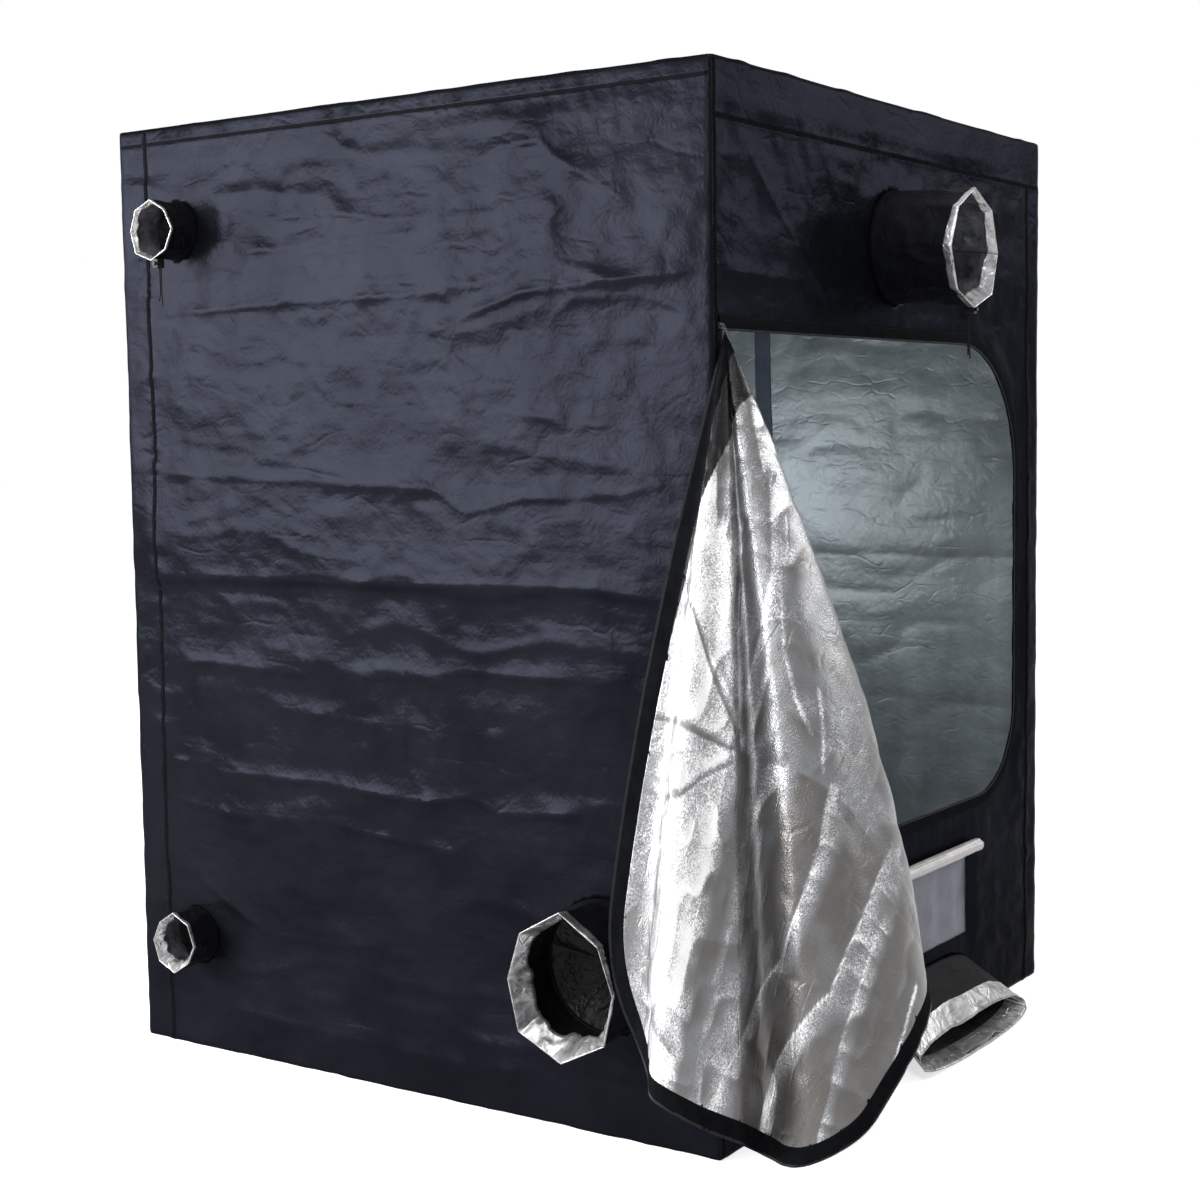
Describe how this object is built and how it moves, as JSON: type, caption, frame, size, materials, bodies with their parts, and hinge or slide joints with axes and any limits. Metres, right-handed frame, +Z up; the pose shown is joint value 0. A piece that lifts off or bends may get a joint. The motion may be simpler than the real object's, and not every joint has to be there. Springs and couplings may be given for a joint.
{
  "type": "indoor grow tent",
  "caption": "Tall cloth tent over a pole frame, with a large zipped front door hung open, a vent window, duct sleeves and a floor tray.",
  "frame": {"origin": "on the ground, in the middle of the tent's square base", "axes": "+Z up, the front wall with the door faces -Y, the left wall with three sleeves faces -X"},
  "size_m": [1.908, 1.9401, 2.032],
  "materials": {
    "cover": "black woven cloth with a light sheen, silver inside",
    "sleeve": "cloth with a crumpled silver face",
    "lining": "crinkled silver film on cloth",
    "tape": "black woven zip tape",
    "zip_metal": "plain metal",
    "zip_pull": "grey, satin",
    "net": "fine pale net",
    "rolled_cloth": "pale coated cloth",
    "pole": "dark paint, satin",
    "fitting": "black, satin",
    "tray": "coated black sheet",
    "cord": "braided black cord",
    "lock": "black, satin"
  },
  "bodies": {
    "tent": {"corner_bottom_front_left": "fitting", "corner_bottom_front_right": "fitting", "corner_bottom_rear_right": "fitting", "corner_bottom_rear_left": "fitting", "corner_top_front_left": "fitting", "corner_top_front_right": "fitting", "corner_top_rear_right": "fitting", "corner_top_rear_left": "fitting", "post_lower_front_left": "pole", "post_lower_front_right": "pole", "post_lower_rear_left": "pole", "post_lower_rear_right": "pole", "post_upper_front_left": "pole", "post_upper_front_right": "pole", "post_upper_rear_left": "pole", "post_upper_rear_right": "pole", "rail_bottom_front": "pole", "rail_bottom_rear": "pole", "rail_bottom_left": "pole", "rail_bottom_right": "pole", "rail_top_front": "pole", "rail_top_rear": "pole", "rail_top_left": "pole", "rail_top_right": "pole", "wall_front": "cover", "wall_left": "cover", "wall_right": "cover", "wall_rear": "cover", "roof_cover": "cover", "floor_sheet": "cover", "wall_right_band": "tape", "floor_tray": "tray", "sleeve_left_upper": "sleeve", "sleeve_left_lower": "sleeve", "sleeve_left_large": "sleeve", "sleeve_front_upper": "sleeve", "sleeve_front_lower": "sleeve", "door_frame_zip_tape": "tape", "door_seam_binding": "tape", "vent_mesh": "net", "front_cord_tail_a": "cord", "front_cord_tail_b": "cord", "left_cord_tail_a": "cord", "left_cord_tail_b": "cord"},
    "door": {"door_flap": "lining", "door_flap_zip_tape": "tape"},
    "top_slider": {"zip_slider_top": "zip_metal"},
    "top_pull": {"zip_pull_top": "zip_pull"},
    "bottom_slider": {"zip_slider_bottom": "zip_metal"},
    "bottom_pull": {"zip_pull_bottom": "zip_pull"},
    "vent_roll": {"vent_flap_roll": "rolled_cloth"},
    "front_roof_bar": {"roof_bar_front": "pole"},
    "rear_roof_bar": {"roof_bar_rear": "pole"},
    "front_lock": {"front_cord_lock": "lock"},
    "front_button": {"front_cord_button": "lock"},
    "left_lock": {"left_cord_lock": "lock"},
    "left_button": {"left_cord_button": "lock"}
  },
  "joints": [
    {"name": "door_flap_swing", "type": "hinge", "parent": "tent", "child": "door", "pos_m": [-0.732, -0.7686, 1.542], "axis": [0, 0, 1], "range_deg": [0, 45]},
    {"name": "top_slider_run", "type": "slide", "parent": "tent", "child": "top_slider", "axis": [1, 0, 0], "range_m": [0, 1]},
    {"name": "top_pull_swing", "type": "hinge", "parent": "top_slider", "child": "top_pull", "pos_m": [-0.744, -0.7731, 1.5485], "axis": [-1, 0, 0], "range_deg": [0, 60]},
    {"name": "bottom_slider_run", "type": "slide", "parent": "tent", "child": "bottom_slider", "axis": [1, 0, 0], "range_m": [0, 1.05]},
    {"name": "bottom_pull_swing", "type": "hinge", "parent": "bottom_slider", "child": "bottom_pull", "pos_m": [-0.744, -0.7731, 0.5005], "axis": [-1, 0, 0], "range_deg": [0, 60]},
    {"name": "vent_roll_lift", "type": "hinge", "parent": "tent", "child": "vent_roll", "pos_m": [0.1425, -0.7623, 0.415], "axis": [-1, 0, 0], "range_deg": [0, 40]},
    {"name": "front_roof_bar_slide", "type": "slide", "parent": "tent", "child": "front_roof_bar", "axis": [0, 1, 0], "range_m": [-0.45, 0.2]},
    {"name": "rear_roof_bar_slide", "type": "slide", "parent": "tent", "child": "rear_roof_bar", "axis": [0, 1, 0], "range_m": [-0.2, 0.45]},
    {"name": "front_lock_slide", "type": "slide", "parent": "tent", "child": "front_lock", "axis": [0, 0, -1], "range_m": [0, 0.05]},
    {"name": "front_button_press", "type": "slide", "parent": "front_lock", "child": "front_button", "axis": [0, 1, 0], "range_m": [0, 0.004], "stiffness_N_per_m": 200},
    {"name": "left_lock_slide", "type": "slide", "parent": "tent", "child": "left_lock", "axis": [0, 0, -1], "range_m": [0, 0.05]},
    {"name": "left_button_press", "type": "slide", "parent": "left_lock", "child": "left_button", "axis": [1, 0, 0], "range_m": [0, 0.004], "stiffness_N_per_m": 200}
  ]
}
